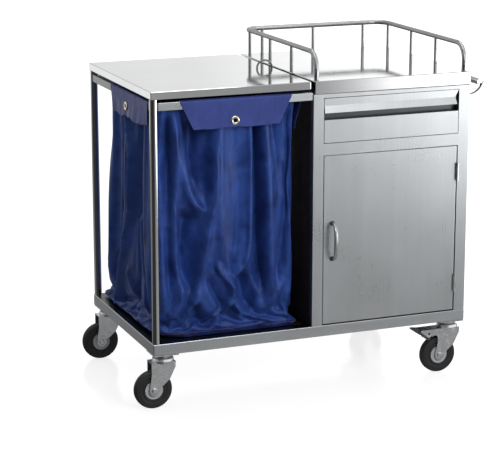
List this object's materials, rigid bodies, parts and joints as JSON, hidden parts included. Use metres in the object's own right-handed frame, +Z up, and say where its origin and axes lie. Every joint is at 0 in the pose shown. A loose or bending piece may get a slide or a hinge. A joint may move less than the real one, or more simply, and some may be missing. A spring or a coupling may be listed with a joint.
{
  "type": "housekeeping cart",
  "caption": "Steel housekeeping cart with a lidded linen bag bay, a cupboard with drawer and door, a guard-railed top, a push bar and swivel castors.",
  "frame": {"origin": "on the floor, under the middle of the cart's whole footprint", "axes": "+X along the cart from the bag bay to the push bar, +Y to the back, +Z up"},
  "size_m": [1.2195, 0.6832, 1.121],
  "materials": {
    "brushed_steel": "brushed stainless sheet, fine vertical grain",
    "polished_steel": "polished stainless sheet and tube",
    "dark_steel": "dark satin inner faces of the bag bay",
    "zinc_plate": "dull zinc-plated pressed steel",
    "pedal_steel": "black pressed steel",
    "bag_cloth": "blue coated nylon, satin sheen",
    "hub_plastic": "grey moulded hub",
    "tyre": "black rubber tyre"
  },
  "bodies": {
    "root": {"base_frame": "brushed_steel", "base_floor": "dark_steel", "post_front": "polished_steel", "post_rear": "polished_steel", "top_rail_front": "brushed_steel", "top_rail_rear": "brushed_steel", "top_rail_left": "brushed_steel", "bag_rail_rear": "brushed_steel", "bag_rail_right": "brushed_steel", "linen_bag": "bag_cloth", "bag_flap_front": "bag_cloth", "bag_flap_left": "bag_cloth", "lid_hinge_fixed": "zinc_plate", "cabinet_side_left": "dark_steel", "cabinet_side_right": "brushed_steel", "cabinet_back": "brushed_steel", "cabinet_shelf": "brushed_steel", "cabinet_front_frame": "brushed_steel", "cabinet_top": "polished_steel", "guard_rail": "polished_steel", "push_bracket_front": "polished_steel", "push_bracket_rear": "polished_steel", "push_bar": "polished_steel", "drawer_runner_left": "zinc_plate", "drawer_runner_right": "zinc_plate", "door_hinge_upper_fixed": "zinc_plate", "door_hinge_lower_fixed": "zinc_plate", "castor_front_left_plate": "zinc_plate", "castor_front_right_plate": "zinc_plate", "castor_rear_left_plate": "zinc_plate", "castor_rear_right_plate": "zinc_plate"},
    "lid": {"lid": "polished_steel", "lid_pull": "polished_steel", "lid_hinge_moving": "zinc_plate"},
    "drawer": {"drawer_front": "brushed_steel", "drawer_box": "brushed_steel", "drawer_slide_left": "zinc_plate", "drawer_slide_right": "zinc_plate"},
    "door": {"door": "brushed_steel", "door_handle": "polished_steel", "door_hinge_upper_moving": "zinc_plate", "door_hinge_lower_moving": "zinc_plate"},
    "castor_front_left": {"castor_front_left_fork": "zinc_plate", "castor_front_left_axle": "zinc_plate"},
    "castor_front_left_wheel": {"castor_front_left_hub": "hub_plastic", "castor_front_left_tyre": "tyre"},
    "castor_front_right": {"castor_front_right_fork": "zinc_plate", "castor_front_right_axle": "zinc_plate"},
    "castor_front_right_wheel": {"castor_front_right_hub": "hub_plastic", "castor_front_right_tyre": "tyre"},
    "castor_front_right_brake": {"castor_front_right_brake_pedal": "pedal_steel"},
    "castor_rear_left": {"castor_rear_left_fork": "zinc_plate", "castor_rear_left_axle": "zinc_plate"},
    "castor_rear_left_wheel": {"castor_rear_left_hub": "hub_plastic", "castor_rear_left_tyre": "tyre"},
    "castor_rear_right": {"castor_rear_right_fork": "zinc_plate", "castor_rear_right_axle": "zinc_plate"},
    "castor_rear_right_wheel": {"castor_rear_right_hub": "hub_plastic", "castor_rear_right_tyre": "tyre"},
    "castor_rear_right_brake": {"castor_rear_right_brake_pedal": "pedal_steel"}
  },
  "joints": [
    {"name": "lid_hinge", "type": "hinge", "parent": "root", "child": "lid", "pos_m": [-0.283, 0.3378, 0.9945], "axis": [-1, 0, 0], "range_deg": [0, 100]},
    {"name": "drawer_slide", "type": "slide", "parent": "root", "child": "drawer", "axis": [0, -1, 0], "range_m": [0, 0.36]},
    {"name": "door_hinge", "type": "hinge", "parent": "root", "child": "door", "pos_m": [0.5081, -0.3108, 0.502], "axis": [0, 0, 1], "range_deg": [0, 110]},
    {"name": "castor_front_left_swivel", "type": "hinge", "parent": "root", "child": "castor_front_left", "pos_m": [-0.507, -0.267, 0.155], "axis": [0, 0, 1], "continuous": true},
    {"name": "castor_front_left_roll", "type": "hinge", "parent": "castor_front_left", "child": "castor_front_left_wheel", "pos_m": [-0.542, -0.267, 0.0625], "axis": [0, 1, 0], "continuous": true},
    {"name": "castor_front_right_swivel", "type": "hinge", "parent": "root", "child": "castor_front_right", "pos_m": [0.507, -0.267, 0.155], "axis": [0, 0, 1], "continuous": true},
    {"name": "castor_front_right_roll", "type": "hinge", "parent": "castor_front_right", "child": "castor_front_right_wheel", "pos_m": [0.472, -0.267, 0.0625], "axis": [0, 1, 0], "continuous": true},
    {"name": "castor_front_right_brake", "type": "hinge", "parent": "castor_front_right", "child": "castor_front_right_brake", "pos_m": [0.43, -0.267, 0.141], "axis": [0, -1, 0], "range_deg": [0, 20]},
    {"name": "castor_rear_left_swivel", "type": "hinge", "parent": "root", "child": "castor_rear_left", "pos_m": [-0.507, 0.295, 0.155], "axis": [0, 0, 1], "continuous": true},
    {"name": "castor_rear_left_roll", "type": "hinge", "parent": "castor_rear_left", "child": "castor_rear_left_wheel", "pos_m": [-0.542, 0.295, 0.0625], "axis": [0, 1, 0], "continuous": true},
    {"name": "castor_rear_right_swivel", "type": "hinge", "parent": "root", "child": "castor_rear_right", "pos_m": [0.507, 0.295, 0.155], "axis": [0, 0, 1], "continuous": true},
    {"name": "castor_rear_right_roll", "type": "hinge", "parent": "castor_rear_right", "child": "castor_rear_right_wheel", "pos_m": [0.472, 0.295, 0.0625], "axis": [0, 1, 0], "continuous": true},
    {"name": "castor_rear_right_brake", "type": "hinge", "parent": "castor_rear_right", "child": "castor_rear_right_brake", "pos_m": [0.43, 0.295, 0.141], "axis": [0, -1, 0], "range_deg": [0, 20]}
  ]
}
